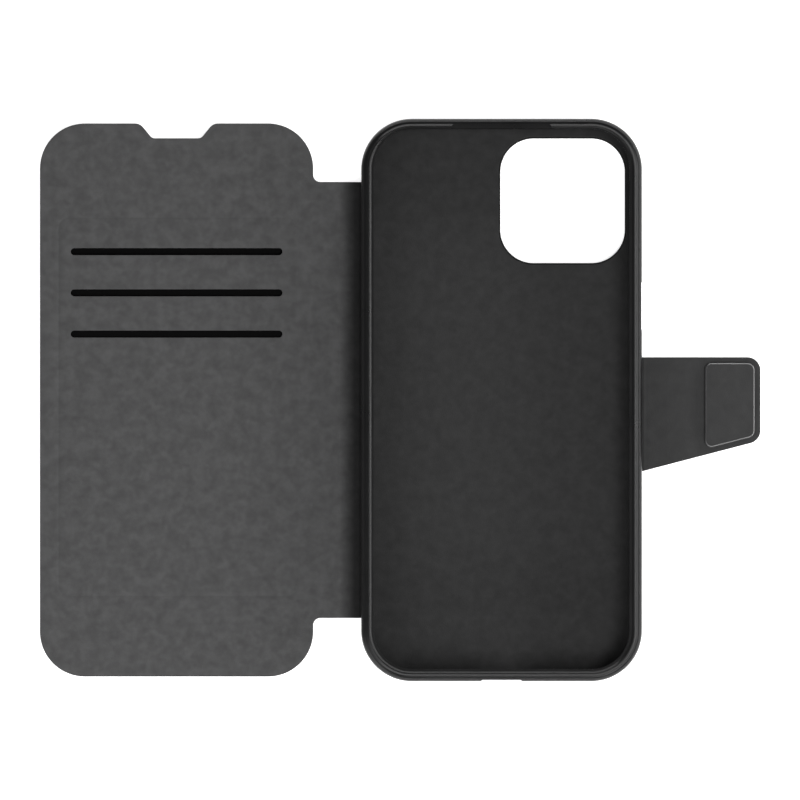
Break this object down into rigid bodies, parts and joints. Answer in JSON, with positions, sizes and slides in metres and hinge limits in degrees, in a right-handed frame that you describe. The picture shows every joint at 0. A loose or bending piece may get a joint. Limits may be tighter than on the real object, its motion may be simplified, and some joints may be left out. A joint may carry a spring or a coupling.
{
  "type": "phone wallet case",
  "caption": "Folding wallet case for a phone: shell tray, hinged cover with card slots, spine and magnetic closing strap, lying open.",
  "frame": {"origin": "centre of the back of the case, on the face that lies on the table", "axes": "+Z out of the phone bay, away from the table; +X from the spine to the closing strap; +Y to the top of the phone"},
  "size_m": [0.1946, 0.1518, 0.0108],
  "materials": {
    "rubber": "satin black moulded rubber",
    "button_rubber": "smooth black rubber",
    "leather": "fine-grained matte black",
    "microfibre": "soft mottled dark grey",
    "strap_microfibre": "soft dark grey",
    "pocket_fabric": "thin black woven",
    "fibreboard": "grey pressed board",
    "foam": "dark closed-cell foam",
    "tape": "thin double-sided film",
    "steel": "plain rolled",
    "stiff_plastic": "moulded",
    "nickel": "nickel plate"
  },
  "bodies": {
    "tray": {"tray_shell": "rubber", "tray_lining": "microfibre", "adhesive_sheet": "tape", "back_board": "fibreboard", "back_skin": "leather", "spine_tuck": "microfibre", "strap_tuck": "strap_microfibre"},
    "power_button": {"power_button": "button_rubber"},
    "volume_up_button": {"volume_up_button": "button_rubber"},
    "volume_down_button": {"volume_down_button": "button_rubber"},
    "spine": {"spine_skin": "leather", "spine_lining": "microfibre"},
    "cover": {"cover_skin": "leather", "cover_board": "fibreboard", "catch_plate": "steel", "pocket_frame": "foam", "pocket_backing": "pocket_fabric", "pocket_divider_upper": "pocket_fabric", "pocket_divider_lower": "pocket_fabric", "cover_lining": "microfibre"},
    "strap_side": {"strap_side_skin": "leather", "strap_side_lining": "strap_microfibre"},
    "strap_tab": {"strap_tab_skin": "leather", "magnet_carrier": "stiff_plastic", "magnet_upper": "nickel", "magnet_lower": "nickel", "strap_tab_lining": "strap_microfibre"}
  },
  "joints": [
    {"name": "spine_fold", "type": "hinge", "parent": "tray", "child": "spine", "pos_m": [-0.03835, 0, 0.0011], "axis": [0, 1, 0], "range_deg": [-90, 90]},
    {"name": "cover_fold", "type": "hinge", "parent": "spine", "child": "cover", "pos_m": [-0.04947, 0, 0.00118], "axis": [0, 1, 0], "range_deg": [-90, 90]},
    {"name": "strap_fold", "type": "hinge", "parent": "tray", "child": "strap_side", "pos_m": [0.03835, 0, 0.0011], "axis": [0, -1, 0], "range_deg": [-45, 90]},
    {"name": "strap_tab_fold", "type": "hinge", "parent": "strap_side", "child": "strap_tab", "pos_m": [0.05185, 0, 0.0011], "axis": [0, -1, 0], "range_deg": [-45, 90]},
    {"name": "power_press", "type": "slide", "parent": "tray", "child": "power_button", "axis": [-1, 0, 0], "range_m": [0, 0.0003], "stiffness_N_per_m": 1000},
    {"name": "volume_up_press", "type": "slide", "parent": "tray", "child": "volume_up_button", "axis": [1, 0, 0], "range_m": [0, 0.0003], "stiffness_N_per_m": 1000},
    {"name": "volume_down_press", "type": "slide", "parent": "tray", "child": "volume_down_button", "axis": [1, 0, 0], "range_m": [0, 0.0003], "stiffness_N_per_m": 1000}
  ]
}
